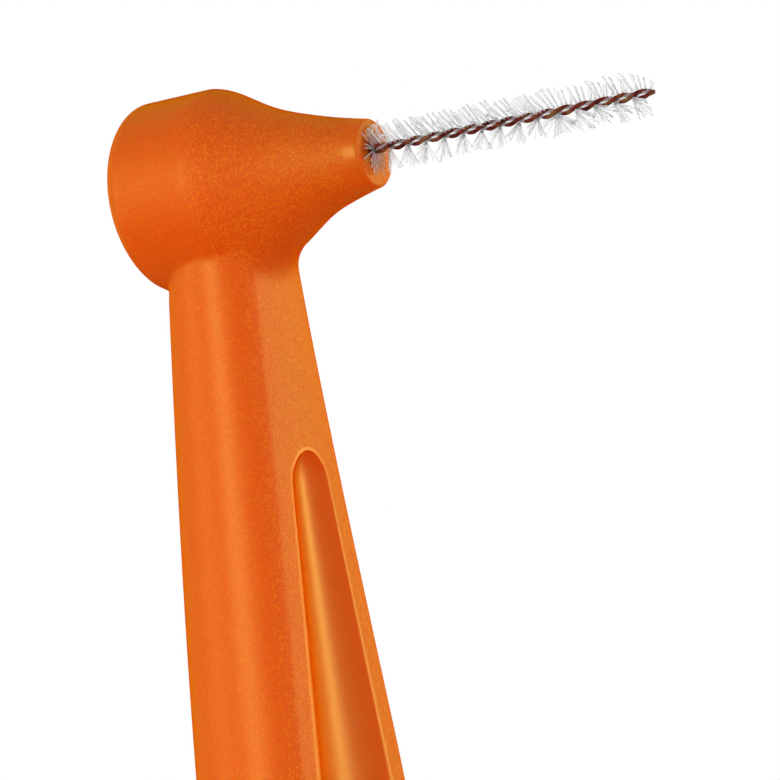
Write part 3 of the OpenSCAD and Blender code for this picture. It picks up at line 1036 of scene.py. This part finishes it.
def orange_plastic():
    """Moulded, slightly see-through plastic with a fine spark-eroded grain whose light specks are
    painted glints.
    """
    material, nodes, links, shader = new_material("orange_plastic")
    set_inputs(
        shader,
        {
            "IOR": PLASTIC_IOR,
            "Specular IOR Level": ORANGE_GLOSS,
            "Specular Tint": GLOSS_TINT,
            "Coat Weight": 1.0,
            "Coat IOR": SKIN_IOR,
            "Coat Tint": SKIN_TINT,
            "Subsurface Weight": 1.0,
            "Subsurface Radius": ORANGE_DEPTH,
            "Subsurface Scale": MM,
        },
    )
    grain = attribute(nodes, "grain")
    speckle = noise(nodes, links, GRAIN_SCALE, roughness=GRAIN_FINENESS)

    # The grain's own level where it is full, and the smooth one where there is none
    level = nodes.new("ShaderNodeMath")
    level.operation = "MULTIPLY_ADD"
    links.new(grain, level.inputs[0])
    level.inputs[1].default_value = -ORANGE_SMOOTH
    level.inputs[2].default_value = ORANGE_SMOOTH
    shade = nodes.new("ShaderNodeMath")
    shade.operation = "MULTIPLY_ADD"
    links.new(speckle, shade.inputs[0])
    links.new(grain, shade.inputs[1])
    links.new(level.outputs[0], shade.inputs[2])

    # Painted shade: the depth attribute mixes the base colour towards the dimple's dark colour
    painted_shade_mix = nodes.new("ShaderNodeMix")
    painted_shade_mix.data_type = "RGBA"
    links.new(attribute(nodes, "depth"), painted_shade_mix.inputs["Factor"])
    # The grain's speckle is real texture, but its light peaks are painted glints
    links.new(colour_ramp(nodes, links, shade.outputs[0], ORANGE_WITH_PAINTED_GLINTS), painted_shade_mix.inputs["A"])
    painted_shade_mix.inputs["B"].default_value = (*DIMPLE_PAINTED_SHADE, 1.0)
    links.new(painted_shade_mix.outputs["Result"], shader.inputs["Base Color"])

    bump = nodes.new("ShaderNodeBump")
    bump.inputs["Distance"].default_value = GRAIN_HEIGHT
    links.new(speckle, bump.inputs["Height"])
    links.new(grain, bump.inputs["Strength"])
    links.new(bump.outputs["Normal"], shader.inputs["Normal"])
    roughen(nodes, links, shader, grain, ORANGE_ROUGHNESS)
    return material


def coat_plastic():
    """The thin dark coat on the wire, maroon, with olive patches painted as glints."""
    material, nodes, links, shader = new_material("wire_coat")
    set_inputs(shader, {"IOR": PLASTIC_IOR, "Specular IOR Level": COAT_GLOSS})
    mottle = noise(nodes, links, COAT_SCALE)
    links.new(colour_ramp(nodes, links, mottle, COAT_WITH_PAINTED_GLINTS), shader.inputs["Base Color"])
    roughen(nodes, links, shader, mottle, COAT_ROUGHNESS)
    return material


def nylon():
    """Clear, pale filaments."""
    material, nodes, links, shader = new_material("nylon_filament")
    set_inputs(
        shader,
        {"IOR": NYLON_IOR, "Roughness": NYLON_ROUGHNESS, "Transmission Weight": NYLON_CLEAR},
    )
    shade = noise(nodes, links, NYLON_SCALE, detail=2.0)
    links.new(colour_ramp(nodes, links, shade, NYLON_STOPS), shader.inputs["Base Color"])
    return material


def drawn_steel():
    """Bare wire, which only its two cut ends and the inside of the coat would show."""
    material, nodes, links, shader = new_material("drawn_steel")
    set_inputs(shader, {"Base Color": STEEL_COLOUR, "Metallic": 1.0})
    streaks = noise(nodes, links, STEEL_SCALE, detail=2.0)
    roughen(nodes, links, shader, streaks, STEEL_ROUGHNESS)
    return material


# ---------------------------------------------------------------- light and floor
WHITE = (1.0, 1.0, 1.0)
WORLD_STRENGTH = 0.05
LIGHT_DISTANCE = 0.8
# Height of the place on the handle's axis that the lamps point at
LIGHT_AIM = 0.11
# Name, azimuth, elevation, width, height and power of each soft lamp
LIGHTS = (
    ("left_box", -6.0, 15.0, 0.18, 0.42, 3.4),
    ("far_left_box", -52.0, 12.0, 0.4, 0.6, 1.7),
    ("front_box", 80.0, 14.0, 0.12, 0.6, 1.8),
    ("right_box", 147.0, 10.0, 0.16, 0.6, 3.2),
)
FLOOR_COLOUR = (0.86, 0.86, 0.86)
FLOOR_ROUGHNESS = 0.9
FLOOR_HALF_SIZE = 600.0
FLOOR_DROP = 0.00002


def seen_as_white(nodes, links, plain):
    """Shows plain white to the camera, to glossy surfaces and through clear ones."""
    path = nodes.new("ShaderNodeLightPath")
    white = nodes.new("ShaderNodeBackground")
    set_inputs(white, {"Color": WHITE, "Strength": 1.0})
    most = path.outputs["Is Camera Ray"]
    for other in ("Is Glossy Ray", "Is Transmission Ray"):
        both = nodes.new("ShaderNodeMath")
        both.operation = "MAXIMUM"
        links.new(most, both.inputs[0])
        links.new(path.outputs[other], both.inputs[1])
        most = both.outputs[0]
    mix = nodes.new("ShaderNodeMixShader")
    links.new(most, mix.inputs["Fac"])
    links.new(plain, mix.inputs[1])
    links.new(white.outputs[0], mix.inputs[2])
    return mix.outputs[0]


def make_world():
    """A weak white surrounding light, seen as plain white."""
    world = bpy.data.worlds.new("world")
    world.use_nodes = True
    bpy.context.scene.world = world
    nodes, links = world.node_tree.nodes, world.node_tree.links
    plain = nodes["Background"]
    set_inputs(plain, {"Color": WHITE, "Strength": WORLD_STRENGTH})
    shown = seen_as_white(nodes, links, plain.outputs[0])
    links.new(shown, nodes["World Output"].inputs["Surface"])


def make_floor():
    """A pale floor, just below the handle's tail."""
    material, _, _, shader = new_material("floor")
    set_inputs(shader, {"Base Color": FLOOR_COLOUR, "Roughness": FLOOR_ROUGHNESS})
    size = FLOOR_HALF_SIZE
    corners = [(-size, -size, 0.0), (size, -size, 0.0), (size, size, 0.0), (-size, size, 0.0)]
    floor = mesh_object("floor", np.array(corners), [(0, 1, 2, 3)], material)
    floor.location.z = -FLOOR_DROP


def softbox(name, azimuth, elevation, width, height, power):
    """An oblong lamp aimed at the handle: azimuth as for views, 0 in front of the -Y side."""
    a, e = math.radians(azimuth), math.radians(elevation)
    back = Vector((math.sin(a) * math.cos(e), -math.cos(a) * math.cos(e), math.sin(e)))
    data = bpy.data.lights.new(name, "AREA")
    data.shape = "RECTANGLE"
    data.size, data.size_y = width, height
    data.energy = power
    lamp = bpy.data.objects.new(name, data)
    lamp.location = Vector((0.0, 0.0, LIGHT_AIM)) + back * LIGHT_DISTANCE
    lamp.rotation_mode = "QUATERNION"
    lamp.rotation_quaternion = (-back).to_track_quat("-Z", "Y")
    bpy.context.collection.objects.link(lamp)


# ---------------------------------------------------------------- the scene
def main():
    """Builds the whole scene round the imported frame."""
    scene = bpy.context.scene
    scene.view_settings.view_transform = "Standard"
    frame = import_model()
    make_camera()
    make_world()
    for lamp in LIGHTS:
        softbox(*lamp)
    make_floor()

    plastic, coat, strand, steel = orange_plastic(), coat_plastic(), nylon(), drawn_steel()
    pieces = [
        (make_handle(plastic), "handle", "handle_plastic"),
        (make_coat(coat), "wire_coating", "wire_coat"),
    ]
    for number in range(TUFT_COUNT):
        tuft = make_tuft(number, strand)
        pieces.append((tuft, f"bristle_tuft_{number + 1:02d}", "filament"))
    for piece, node, slot in pieces:
        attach(piece, "root")
        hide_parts(node)
    wire = frame["nodes"]["steel_wire"]
    wire.data.materials.clear()
    wire.data.materials.append(steel)


main()
